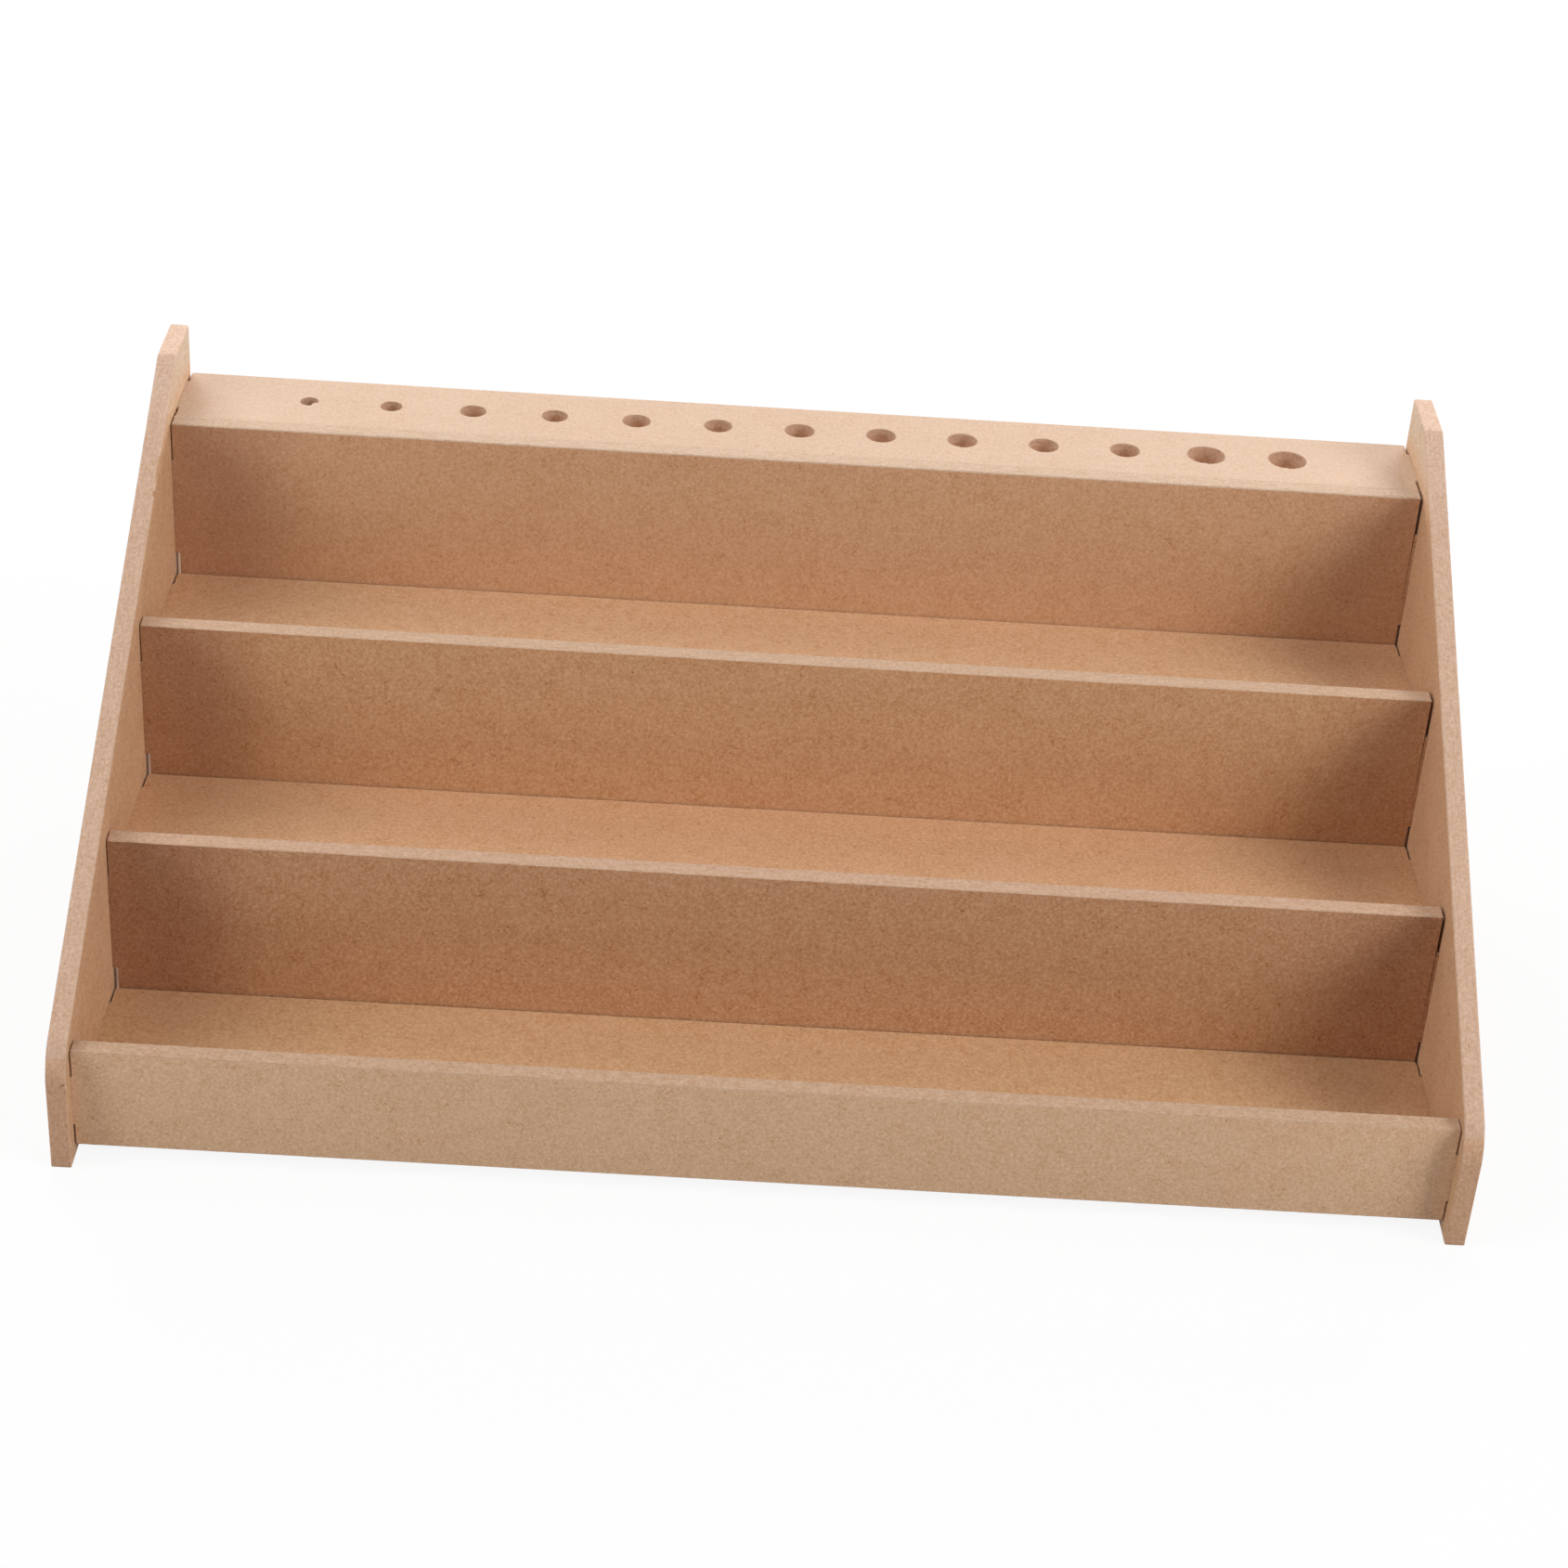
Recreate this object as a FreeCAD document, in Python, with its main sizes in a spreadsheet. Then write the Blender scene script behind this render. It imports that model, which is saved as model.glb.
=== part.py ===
import FreeCAD, Part

import math
import os

import Sketcher

# Hobby workstation organizer
# A stepped rack of raw fibreboard. Two side panels carry eight boards: a low
# lip board at the front, three shelves, three risers and a tool board with a
# row of graded holes. Every board has one tenon at each end, which goes
# through a slot in the side panel, and the shelves butt against the risers.
# The origin is the middle of the footprint, on the surface that the rack
# stands on. +X is to the right, +Y to the back and +Z up. Lengths are in mm.

doc = FreeCAD.newDocument("workstation_organizer")

# Driving sizes
# Each row is the size's name, its value and what it measures.
SIZES = [
    ("board_thickness", 5.0, "thickness of every board"),
    ("inner_width", 340.0, "clear width between the side panels"),
    ("end_gap", 0.5, "gap from a board's shoulder to the side panel"),
    ("slot_clearance", 0.1, "play round a tenon in its slot, each side"),
    ("front_setback", 5.0, "lip board's face behind the panels' front edges"),
    ("foot_height", 3.5, "lip board's lower edge above the ground"),
    ("lip_height", 28.5, "height of the lip board"),
    ("lip_tenon", 15.0, "height of the lip board's tenons"),
    ("lip_tenon_drop", 7.5, "lip board's upper edge down to its tenons"),
    ("tier_depth", 49.0, "depth of a shelf, from board to board"),
    ("tier_rise", 32.0, "step up from one shelf to the next"),
    ("shelf_lift", 4.2, "lowest shelf's underside above the lip board's edge"),
    ("shelf_tenon", 37.0, "depth of a shelf's tenons"),
    ("riser_height", 50.5, "height of a riser"),
    ("riser_tenon", 28.5, "height of a riser's tenons"),
    ("riser_tenon_drop", 11.0, "riser's upper edge down to its tenons"),
    ("riser_relief", 1.2, "wider gap to the side panel, below a riser's tenons"),
    ("tool_depth", 28.0, "depth of the tool board"),
    ("tool_tenon", 17.0, "depth of the tool board's tenons"),
    ("side_rim", 14.3, "side panels' top above the tool board"),
    ("side_crest", 20.0, "level length of the side panels' top edge"),
    ("side_nose_height", 32.0, "where the slope would meet the front edge"),
    ("side_nose_radius", 12.0, "rounding between front edge and slope"),
    ("side_crest_radius", 2.0, "rounding between slope and top edge"),
    ("hole_pitch", 22.5, "spacing of the tool holes"),
    ("hole_tiny", 5.0, "tool hole"),
    ("hole_small", 6.0, "tool hole"),
    ("hole_slim", 7.2, "tool hole"),
    ("hole_medium", 7.8, "tool hole"),
    ("hole_wide", 8.3, "tool hole"),
    ("hole_large", 10.6, "tool hole"),
]

# The tool holes from left to right. The middle one is on the rack's middle.
HOLE_ROW = ["hole_tiny", "hole_small", "hole_slim", "hole_slim", "hole_medium", "hole_medium"]
HOLE_ROW += ["hole_wide"] * 5
HOLE_ROW += ["hole_large", "hole_large"]
TIERS = [1, 2, 3]
TIER_WORDS = {1: "lower", 2: "middle", 3: "upper"}

sheet = doc.addObject("Spreadsheet::Sheet", "Sizes")
for row, (name, value, note) in enumerate(SIZES, start=1):
    sheet.set(f"A{row}", name)
    sheet.set(f"B{row}", str(value))
    sheet.set(f"C{row}", note)
    sheet.setAlias(f"B{row}", name)
doc.recompute()


# Levels and places
# Each is an expression in the driving sizes. Places along Y are measured from
# the side panels' front edges, and levels from the ground.
THICK = "Sizes.board_thickness"


def tier_face(tier):
    """Place of the face of the riser behind a tier."""
    return f"Sizes.front_setback + {tier} * ({THICK} + Sizes.tier_depth)"


def shelf_underside(tier):
    """Level of a shelf's underside, which is its riser's lower edge too."""
    return f"Sizes.foot_height + Sizes.shelf_lift + {tier - 1} * Sizes.tier_rise"


LIP_TENON_FOOT = "Sizes.lip_height - Sizes.lip_tenon_drop - Sizes.lip_tenon"
RISER_TENON_FOOT = "Sizes.riser_height - Sizes.riser_tenon_drop - Sizes.riser_tenon"
SHELF_TENON_START = "(Sizes.tier_depth - Sizes.shelf_tenon) / 2"
TOOL_TENON_START = "(Sizes.tool_depth - Sizes.tool_tenon) / 2"
TOP_LEVEL = f"{shelf_underside(TIERS[-1])} + Sizes.riser_height"
TOOL_FRONT = f"{tier_face(TIERS[-1])} + {THICK}"
SIDE_DEPTH = f"{TOOL_FRONT} + Sizes.tool_depth"
SIDE_HEIGHT = f"{TOP_LEVEL} + Sizes.side_rim"


def number(expression):
    """Present value of an expression in the driving sizes."""
    return float(sheet.evalExpression(expression))


# Sketches and pads
def new_sketch(body, name, role):
    """Sketch on one of the body's own origin planes."""
    sketch = body.newObject("Sketcher::SketchObject", name)
    for plane in body.Origin.OriginFeatures:
        if plane.Role == role:
            sketch.AttachmentSupport = (plane, [""])
    sketch.MapMode = "FlatFace"
    return sketch


def point(across, up):
    return FreeCAD.Vector(across, up, 0)


def tie(sketch, name, expression, *geometry):
    """Dimension of a sketch, named and bound to the driving sizes."""
    index = sketch.addConstraint(Sketcher.Constraint(*geometry, number(expression)))
    sketch.renameConstraint(index, name)
    sketch.setExpression(f"Constraints.{name}", expression)


def closed_outline(sketch, corners):
    """Straight lines from corner to corner, joined end to end."""
    first = sketch.GeometryCount
    count = len(corners)
    for i in range(count):
        sketch.addGeometry(Part.LineSegment(corners[i], corners[(i + 1) % count]), False)
    for i in range(count):
        sketch.addConstraint(Sketcher.Constraint("Coincident", first + i, 2, first + (i + 1) % count, 1))
    return first


def rectangle(sketch, left, foot, width, height):
    """Rectangle with level and upright sides, not yet dimensioned."""
    right = left + width
    top = foot + height
    corners = [point(left, foot), point(right, foot), point(right, top), point(left, top)]
    first = closed_outline(sketch, corners)
    for side in (first, first + 2):
        sketch.addConstraint(Sketcher.Constraint("Horizontal", side))
    for side in (first + 1, first + 3):
        sketch.addConstraint(Sketcher.Constraint("Vertical", side))
    return first


def centred_rectangle(sketch, start, width, height):
    """Rectangle centred on the sketch's upright axis, its lower side at start."""
    left = -number(width) / 2
    first = rectangle(sketch, left, number(start), number(width), number(height))
    tie(sketch, "start", start, "DistanceY", -1, 1, first, 1)
    tie(sketch, "half_width", f"({width}) / 2", "DistanceX", first, 1, -1, 1)
    tie(sketch, "width", width, "DistanceX", first, 1, first, 2)
    tie(sketch, "height", height, "DistanceY", first + 1, 1, first + 1, 2)


def pad(body, name, sketch, backwards):
    """Solid one board thick on a sketch."""
    feature = body.newObject("PartDesign::Pad", name)
    feature.Profile = sketch
    feature.setExpression("Length", THICK)
    feature.Reversed = backwards
    sketch.Visibility = False
    return feature


def place(body, across, back, up):
    """Position of a body in the rack, with the footprint's middle at zero."""
    body.setExpression("Placement.Base.x", across)
    body.setExpression("Placement.Base.y", f"{back} - ({SIDE_DEPTH}) / 2")
    body.setExpression("Placement.Base.z", up)


# Boards with a tenon at each end
# The blank stops short of the side panels by the end gap. The tenons go on to
# the panels' outer faces. The front face or underside is on the origin plane.
def tenoned_board(name, role, breadth, tenon_start, tenon):
    body = doc.addObject("PartDesign::Body", name)
    backwards = role == "XZ_Plane"
    blank = new_sketch(body, f"{name}_blank", role)
    centred_rectangle(blank, "0", "Sizes.inner_width - 2 * Sizes.end_gap", breadth)
    pad(body, f"{name}_board", blank, backwards)
    tongues = new_sketch(body, f"{name}_tongues", role)
    centred_rectangle(tongues, tenon_start, f"Sizes.inner_width + 2 * {THICK}", tenon)
    pad(body, f"{name}_tenons", tongues, backwards)
    return body


parts = []

# Lip board: the low upright board along the front edge.
lip = tenoned_board("front_lip_board", "XZ_Plane", "Sizes.lip_height", LIP_TENON_FOOT, "Sizes.lip_tenon")
place(lip, "0", "Sizes.front_setback", "Sizes.foot_height")
parts.append(lip)


# Risers: each stands behind a shelf, and its upper edge is the lip of the next.
def relieve_foot(riser):
    """Wider gap to the side panels below the tenons, where a riser is cut back."""
    cut = new_sketch(riser, f"{riser.Name}_relief_cut", "XZ_Plane")
    end = number("Sizes.inner_width / 2")
    width = number("Sizes.riser_relief")
    tall = number(RISER_TENON_FOOT)
    left = rectangle(cut, -end, 0, width, tall)
    right = rectangle(cut, end - width, 0, width, tall)
    tie(cut, "left_end", "Sizes.inner_width / 2", "DistanceX", left, 1, -1, 1)
    tie(cut, "right_start", "Sizes.inner_width / 2 - Sizes.riser_relief", "DistanceX", -1, 1, right, 1)
    for word, first in (("left", left), ("right", right)):
        cut.addConstraint(Sketcher.Constraint("PointOnObject", first, 1, -1))
        tie(cut, f"{word}_width", "Sizes.riser_relief", "DistanceX", first, 1, first, 2)
        tie(cut, f"{word}_tall", RISER_TENON_FOOT, "DistanceY", first + 1, 1, first + 1, 2)
    pocket = riser.newObject("PartDesign::Pocket", f"{riser.Name}_relief")
    pocket.Profile = cut
    pocket.Type = "ThroughAll"
    pocket.Midplane = True
    cut.Visibility = False
    doc.recompute()
    removed = 2 * (width - number("Sizes.end_gap")) * tall * number(THICK)
    if not math.isclose(pocket.BaseFeature.Shape.Volume - pocket.Shape.Volume, removed, rel_tol=1e-6):
        raise RuntimeError("the relief doesn't cut both ends of the riser")


for tier in TIERS:
    riser = tenoned_board(
        f"{TIER_WORDS[tier]}_riser",
        "XZ_Plane",
        "Sizes.riser_height",
        RISER_TENON_FOOT,
        "Sizes.riser_tenon",
    )
    relieve_foot(riser)
    place(riser, "0", tier_face(tier), shelf_underside(tier))
    parts.append(riser)

# Shelves: each fills the depth from the board in front to its riser's face.
for tier in TIERS:
    shelf = tenoned_board(
        f"{TIER_WORDS[tier]}_shelf",
        "XY_Plane",
        "Sizes.tier_depth",
        SHELF_TENON_START,
        "Sizes.shelf_tenon",
    )
    place(shelf, "0", f"{tier_face(tier)} - Sizes.tier_depth", shelf_underside(tier))
    parts.append(shelf)

# Tool board: lies behind the upper riser, level with its upper edge.
tool = tenoned_board("tool_board", "XY_Plane", "Sizes.tool_depth", TOOL_TENON_START, "Sizes.tool_tenon")
place(tool, "0", TOOL_FRONT, f"{TOP_LEVEL} - {THICK}")
parts.append(tool)

# Tool holes: one straight row along the tool board's middle, from small to large.
holes = new_sketch(tool, "tool_holes", "XY_Plane")
middle = len(HOLE_ROW) // 2
for i, size in enumerate(HOLE_ROW):
    centre = point((i - middle) * number("Sizes.hole_pitch"), number("Sizes.tool_depth / 2"))
    radius = number(f"Sizes.{size} / 2")
    holes.addGeometry(Part.Circle(centre, FreeCAD.Vector(0, 0, 1), radius), False)
    tie(holes, f"bore_{i}", f"Sizes.{size}", "Diameter", i)
    tie(holes, f"setback_{i}", "Sizes.tool_depth / 2", "DistanceY", -1, 1, i, 3)
    if i > 0:
        tie(holes, f"pitch_{i}", "Sizes.hole_pitch", "DistanceX", i - 1, 3, i, 3)
holes.addConstraint(Sketcher.Constraint("PointOnObject", middle, 3, -2))
drilling = tool.newObject("PartDesign::Pocket", "tool_hole_drilling")
drilling.Profile = holes
drilling.Type = "ThroughAll"
drilling.Reversed = True
holes.Visibility = False


# Side panels
# The outline is a flat foot, a short front edge, a rounded nose, a straight
# slope, a level crest and an upright back edge. Eight slots take the tenons.
def slots():
    """Each slot's name, place, level, depth and height, before its play."""
    level = f"Sizes.foot_height + {LIP_TENON_FOOT}"
    yield "lip", "Sizes.front_setback", level, THICK, "Sizes.lip_tenon"
    for tier in TIERS:
        word = TIER_WORDS[tier]
        level = f"{shelf_underside(tier)} + {RISER_TENON_FOOT}"
        yield f"{word}_riser", tier_face(tier), level, THICK, "Sizes.riser_tenon"
        start = f"{tier_face(tier)} - Sizes.tier_depth + {SHELF_TENON_START}"
        yield f"{word}_shelf", start, shelf_underside(tier), "Sizes.shelf_tenon", THICK
    start = f"{TOOL_FRONT} + {TOOL_TENON_START}"
    yield "tool", start, f"{TOP_LEVEL} - {THICK}", "Sizes.tool_tenon", THICK


def nearest_edge(shape, back, up):
    """Name of the edge that crosses the panel's thickness at a corner."""
    corner = Part.Vertex(number(THICK) / 2, number(back), number(up))
    gaps = [edge.distToShape(corner)[0] for edge in shape.Edges]
    return f"Edge{gaps.index(min(gaps)) + 1}"


def round_corner(body, name, base, back, up, radius):
    """Rounding of one corner of the side panel's outline."""
    feature = body.newObject("PartDesign::Fillet", name)
    feature.Base = (base, [nearest_edge(base.Shape, back, up)])
    feature.setExpression("Radius", radius)
    doc.recompute()
    return feature


def side_panel(name):
    body = doc.addObject("PartDesign::Body", name)
    outline = new_sketch(body, f"{name}_outline", "YZ_Plane")
    depth = number(SIDE_DEPTH)
    height = number(SIDE_HEIGHT)
    crest = depth - number("Sizes.side_crest")
    nose = number("Sizes.side_nose_height")
    corners = [point(0, 0), point(depth, 0), point(depth, height), point(crest, height), point(0, nose)]
    foot, back, top, slope, front = range(closed_outline(outline, corners), len(corners))
    for side in (foot, top):
        outline.addConstraint(Sketcher.Constraint("Horizontal", side))
    for side in (back, front):
        outline.addConstraint(Sketcher.Constraint("Vertical", side))
    outline.addConstraint(Sketcher.Constraint("Coincident", foot, 1, -1, 1))
    tie(outline, "depth", SIDE_DEPTH, "DistanceX", foot, 1, foot, 2)
    tie(outline, "height", SIDE_HEIGHT, "DistanceY", back, 1, back, 2)
    tie(outline, "crest", "Sizes.side_crest", "DistanceX", top, 2, top, 1)
    tie(outline, "nose", "Sizes.side_nose_height", "DistanceY", front, 2, front, 1)
    base = pad(body, f"{name}_board", outline, False)
    doc.recompute()
    nose_place = ("0", "Sizes.side_nose_height", "Sizes.side_nose_radius")
    crest_place = (f"{SIDE_DEPTH} - Sizes.side_crest", SIDE_HEIGHT, "Sizes.side_crest_radius")
    base = round_corner(body, f"{name}_nose", base, *nose_place)
    base = round_corner(body, f"{name}_crest", base, *crest_place)
    cuts = new_sketch(body, f"{name}_slots", "YZ_Plane")
    for word, start, level, width, tall in slots():
        start = f"{start} - Sizes.slot_clearance"
        level = f"{level} - Sizes.slot_clearance"
        width = f"{width} + 2 * Sizes.slot_clearance"
        tall = f"{tall} + 2 * Sizes.slot_clearance"
        first = rectangle(cuts, number(start), number(level), number(width), number(tall))
        tie(cuts, f"{word}_start", start, "DistanceX", -1, 1, first, 1)
        tie(cuts, f"{word}_level", level, "DistanceY", -1, 1, first, 1)
        tie(cuts, f"{word}_width", width, "DistanceX", first, 1, first, 2)
        tie(cuts, f"{word}_tall", tall, "DistanceY", first + 1, 1, first + 1, 2)
    pocket = body.newObject("PartDesign::Pocket", f"{name}_slotting")
    pocket.Profile = cuts
    pocket.Type = "ThroughAll"
    pocket.Reversed = True
    cuts.Visibility = False
    doc.recompute()
    cut_area = sum(number(width) * number(tall) for _, _, _, width, tall in slots())
    if base.Shape.Volume - pocket.Shape.Volume < cut_area * number(THICK):
        raise RuntimeError("the slots don't go through the side panel")
    return body


left_side = side_panel("left_side_panel")
place(left_side, f"-Sizes.inner_width / 2 - {THICK}", "0", "0")
right_side = side_panel("right_side_panel")
place(right_side, "Sizes.inner_width / 2", "0", "0")
parts += [left_side, right_side]

# Check and export
doc.recompute()
for item in doc.Objects:
    if "Invalid" in item.State or "Error" in item.State:
        raise RuntimeError(f"{item.Name} failed: {item.State}")
drilled = sum((number(f"Sizes.{size}") / 2) ** 2 for size in HOLE_ROW)
drilled *= math.pi * number(THICK)
if not math.isclose(drilling.BaseFeature.Shape.Volume - drilling.Shape.Volume, drilled, rel_tol=1e-6):
    raise RuntimeError("the tool holes don't go through the tool board")
os.makedirs("parts", exist_ok=True)
for body in parts:
    shape = body.Shape
    if shape.isNull() or not shape.isValid() or len(shape.Solids) != 1:
        raise RuntimeError(f"{body.Label} is not one sound solid")
    shape.exportStep(f"parts/{body.Label}.step")
    box = shape.BoundBox
    low = f"{box.XMin:.1f} {box.YMin:.1f} {box.ZMin:.1f}"
    high = f"{box.XMax:.1f} {box.YMax:.1f} {box.ZMax:.1f}"
    print(f"{body.Label}: {low} to {high}")
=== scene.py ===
import math

import bmesh
import bpy
from mathutils import Matrix, Vector


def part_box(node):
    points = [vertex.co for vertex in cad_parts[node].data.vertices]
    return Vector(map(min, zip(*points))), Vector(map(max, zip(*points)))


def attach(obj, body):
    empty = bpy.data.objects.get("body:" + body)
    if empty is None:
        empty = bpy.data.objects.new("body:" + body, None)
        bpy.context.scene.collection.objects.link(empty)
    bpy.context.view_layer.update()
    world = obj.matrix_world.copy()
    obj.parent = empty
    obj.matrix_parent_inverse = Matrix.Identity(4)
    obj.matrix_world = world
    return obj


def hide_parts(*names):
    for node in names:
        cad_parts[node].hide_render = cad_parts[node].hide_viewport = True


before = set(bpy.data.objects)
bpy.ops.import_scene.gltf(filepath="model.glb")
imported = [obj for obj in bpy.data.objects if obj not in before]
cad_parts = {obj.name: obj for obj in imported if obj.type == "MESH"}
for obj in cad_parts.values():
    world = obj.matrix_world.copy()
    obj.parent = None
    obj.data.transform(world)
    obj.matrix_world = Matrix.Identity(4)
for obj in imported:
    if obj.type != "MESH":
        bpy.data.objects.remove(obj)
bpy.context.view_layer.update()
bpy.context.scene.view_settings.view_transform = "Standard"

# Camera
# It stands in front of the rack and looks down over the shelves, slightly to the right
# and turned a little about its own axis, with the long lens of a product photograph.
camera_data = bpy.data.cameras.new("camera")
camera_data.sensor_width = 36
camera_data.lens = 75.48
camera_data.clip_start = 0.05
camera_data.clip_end = 60
camera = bpy.data.objects.new("camera", camera_data)
bpy.context.scene.collection.objects.link(camera)
heading = Matrix.Rotation(math.radians(-1.156), 4, "Z")
tilt = Matrix.Rotation(math.radians(90 - 31.94), 4, "X")
roll = Matrix.Rotation(math.radians(3.941), 4, "Z")
camera.matrix_world = Matrix.Translation((-0.01416, -0.73424, 0.51882)) @ heading @ tilt @ roll
bpy.context.scene.camera = camera


# Lights
# Plain white softboxes, 0.9 m square, stand round the rack as in a light tent: the two strongest
# low behind it, others high behind it and at its sides, and three nearer the front. Their powers
# are set so that the shades of the boards come out as in the photograph.
AIM = Vector((0, 0, 0.06))
LAMP_DISTANCE = 2
LAMP_SIZE = 0.9
ROOM_LIGHT = 0.02


def softbox(name, around, above, power):
    """Square lamp, placed by its angle from the front and its angle above the floor, in degrees."""
    light = bpy.data.lights.new(name, "AREA")
    light.shape = "SQUARE"
    light.size = LAMP_SIZE
    light.energy = power
    lamp = bpy.data.objects.new(name, light)
    bpy.context.scene.collection.objects.link(lamp)
    around = math.radians(around)
    above = math.radians(above)
    level = math.cos(above)
    arm = Vector((math.sin(around) * level, -math.cos(around) * level, math.sin(above)))
    lamp.location = AIM + arm * LAMP_DISTANCE
    lamp.rotation_euler = arm.to_track_quat("Z", "Y").to_euler()


softbox("left_back", -150, 15, 24.5)
softbox("right_back", 150, 15, 27.0)
softbox("left_back_high", -150, 52, 5.9)
softbox("high_back", 180, 62, 6.6)
softbox("left_side", -75, 32, 8.4)
softbox("left_side_high", -75, 52, 7.5)
softbox("right_side_high", 90, 52, 5.0)
softbox("left_front_low", -62, 15, 7.1)
softbox("right_front_low", 62, 15, 7.6)
softbox("right_front", 62, 32, 16.7)


def linear(code):
    """Linear colour of an sRGB hex code."""
    channels = []
    for i in (1, 3, 5):
        value = int(code[i:i + 2], 16) / 255
        channels.append(value / 12.92 if value <= 0.04045 else ((value + 0.055) / 1.055) ** 2.4)
    return (*channels, 1)


def put(tree, kind, sockets=(), **options):
    """Adds one node with its options. A socket's value may be the (node, output) that feeds it."""
    added = tree.nodes.new(f"ShaderNode{kind}")
    for name, value in options.items():
        setattr(added, name, value)
    for socket, value in dict(sockets).items():
        if isinstance(value, tuple) and isinstance(value[0], bpy.types.Node):
            tree.links.new(value[0].outputs[value[1]], added.inputs[socket])
        else:
            added.inputs[socket].default_value = value
    return added


def seen_white(tree):
    """Value that is 1 for rays from the camera and for those that a gloss or clear surface passes on."""
    rays = put(tree, "LightPath")
    seen = put(tree, "Math", {0: (rays, "Is Camera Ray"), 1: (rays, "Is Glossy Ray")}, operation="MAXIMUM")
    return put(tree, "Math", {0: (seen, 0), 1: (rays, "Is Transmission Ray")}, operation="MAXIMUM")


room = bpy.data.worlds.new("white_room")
bpy.context.scene.world = room
room.use_nodes = True
tree = room.node_tree
tree.nodes.clear()
level = put(tree, "Mix", {0: (seen_white(tree), 0), 2: ROOM_LIGHT, 3: 1.0}, data_type="FLOAT")
glow = put(tree, "Background", {"Color": (1, 1, 1, 1), "Strength": (level, 0)})
put(tree, "OutputWorld", {"Surface": (glow, 0)})

# Floor
# A wide sheet of white paper board under the rack. It is drawn nearly white where it is seen,
# so that only a faint shadow is left on it, and is greyer for the light that it sends back.
FLOOR_WIDTH = 24
FLOOR_DROP = 0.0002
WHITE_SHARE = 0.9
bpy.ops.object.select_all(action="DESELECT")
bpy.ops.mesh.primitive_grid_add(x_subdivisions=2, y_subdivisions=2, size=FLOOR_WIDTH,
                                location=(0, 0, -FLOOR_DROP))
floor = bpy.context.active_object
floor.name = "floor"
bpy.ops.object.transform_apply(location=True, rotation=False, scale=False)
paper = bpy.data.materials.new("white_paper_board")
paper.use_nodes = True
tree = paper.node_tree
tree.nodes.clear()
spot = put(tree, "TexCoord")
tone = put(tree, "TexNoise", {"Vector": (spot, "Object"), "Scale": 3.0, "Detail": 2.0})
white = put(tree, "Mix", {0: (tone, 0), 6: linear("#F4F4F3"), 7: linear("#F7F7F7")}, data_type="RGBA")
rays = put(tree, "LightPath")
board = put(tree, "Mix", {0: (rays, "Is Camera Ray"), 6: linear("#BFBFBE"), 7: (white, 2)},
            data_type="RGBA")
matt = put(tree, "BsdfDiffuse", {"Color": (board, 2), "Roughness": 0.5})
bright = put(tree, "Emission", {"Color": (1, 1, 1, 1), "Strength": 1.0})
share = put(tree, "Math", {0: (seen_white(tree), 0), 1: WHITE_SHARE}, operation="MULTIPLY")
both = put(tree, "MixShader", {0: (share, 0), 1: (matt, 0), 2: (bright, 0)})
put(tree, "OutputMaterial", {"Surface": (both, 0)})
floor.data.materials.append(paper)

# Side panels
# Two upright end boards of raw 5 mm fibreboard, sawn to a slope with a rounded nose. The
# slots that take the tenons of all the other boards are cut right through them.
NOSE_HEIGHT = 0.032
NOSE_RADIUS = 0.012
CREST_LENGTH = 0.020
CREST_RADIUS = 0.002
SLOT_PLAY = 0.0001
ARRIS = 0.0003
WEAR_GRAIN = 0.0022
WEAR = 0.00016
PANEL_WEAR = 0.00024
SLICE = 0.001
SHARP = 0.5
# Ends of a riser, from where the shade begins to where it is full, at its left and right
LEFT_END = (-0.128, -0.156)
RIGHT_END = (0.130, 0.160)
# The red of the board darkens less: by the shade to this power
RED_POWER = 0.75
# Heights between which the panels turn paler above the tool board: painted light
TOP_LIGHT_BAND = (0.121, 0.131)


def start_box(name, low, high):
    """Adds a box between two corners, with its place in its mesh."""
    bpy.ops.object.select_all(action="DESELECT")
    bpy.ops.mesh.primitive_cube_add(size=1, location=(low + high) / 2)
    box = bpy.context.active_object
    box.name = name
    box.data.name = name
    box.scale = high - low
    bpy.ops.object.transform_apply(location=True, rotation=True, scale=True)
    return box


def work_on(piece):
    """Makes a piece the only selected one, and goes into edit mode."""
    bpy.ops.object.select_all(action="DESELECT")
    piece.select_set(True)
    bpy.context.view_layer.objects.active = piece
    bpy.ops.object.mode_set(mode="EDIT")


def pick(piece, kind, wanted):
    """Selects the faces or edges that pass a test on their place or normal."""
    bpy.ops.mesh.select_mode(type=kind)
    bpy.ops.mesh.select_all(action="DESELECT")
    shape = bmesh.from_edit_mesh(piece.data)
    for item in (shape.faces if kind == "FACE" else shape.edges):
        if wanted(item):
            item.select_set(True)
    bmesh.update_edit_mesh(piece.data)


def apply_modifier(piece, kind, **settings):
    """Adds a modifier to a piece and applies it."""
    bpy.ops.object.select_all(action="DESELECT")
    piece.select_set(True)
    bpy.context.view_layer.objects.active = piece
    modifier = piece.modifiers.new("step", kind)
    for name, value in settings.items():
        setattr(modifier, name, value)
    bpy.ops.object.modifier_apply(modifier=modifier.name)


def join(pieces):
    """Joins cutters into the first one."""
    bpy.ops.object.select_all(action="DESELECT")
    for piece in pieces:
        piece.select_set(True)
    bpy.context.view_layer.objects.active = pieces[0]
    bpy.ops.object.join()
    return pieces[0]


def cut(piece, cutters, operation="DIFFERENCE"):
    """Takes the cutters out of a piece, or adds them to it."""
    tool = join(cutters)
    apply_modifier(piece, "BOOLEAN", operation=operation, solver="EXACT", object=tool)
    bpy.data.objects.remove(tool, do_unlink=True)


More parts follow.
